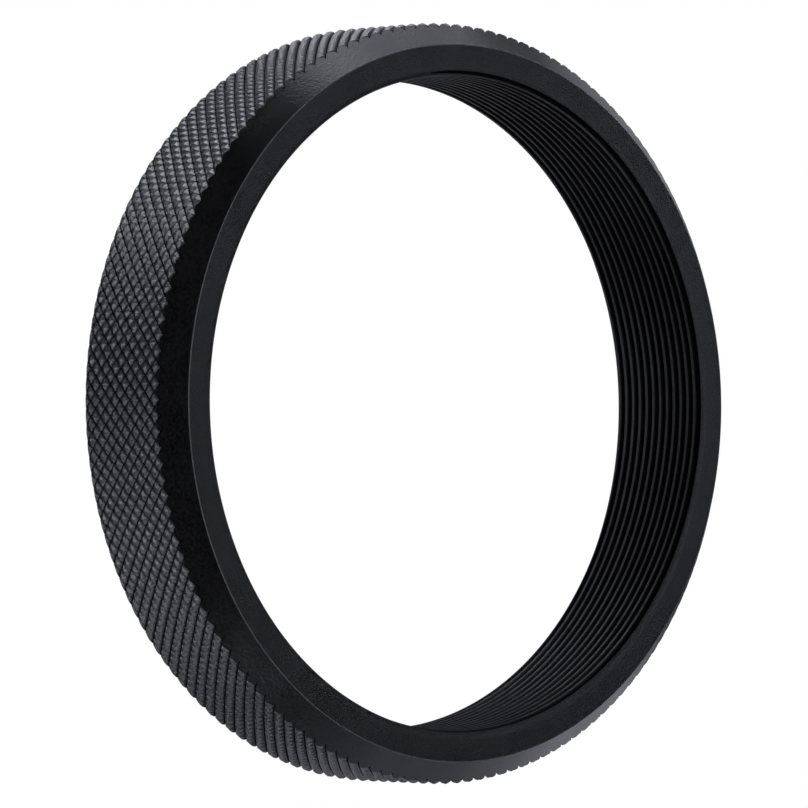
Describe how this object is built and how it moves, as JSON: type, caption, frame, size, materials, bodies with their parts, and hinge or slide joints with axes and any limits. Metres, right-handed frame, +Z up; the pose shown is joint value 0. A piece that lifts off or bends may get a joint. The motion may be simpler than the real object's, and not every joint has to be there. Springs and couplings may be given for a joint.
{
  "type": "lens hood",
  "caption": "Short knurled ring hood with a bevelled front edge and a fine thread through its bore, which screws onto the front of a camera lens.",
  "frame": {"origin": "centre of the rear seating face, on the optical axis", "axes": "+Y along the optical axis, out of the rear face towards the lens; -Y towards the subject; +Z up"},
  "size_m": [0.0562, 0.0099, 0.0562],
  "materials": {
    "black_anodised": "black anodised over a fine bead blast, satin on the turned bevel"
  },
  "bodies": {
    "root": {"hood_ring": "black_anodised"}
  },
  "joints": []
}
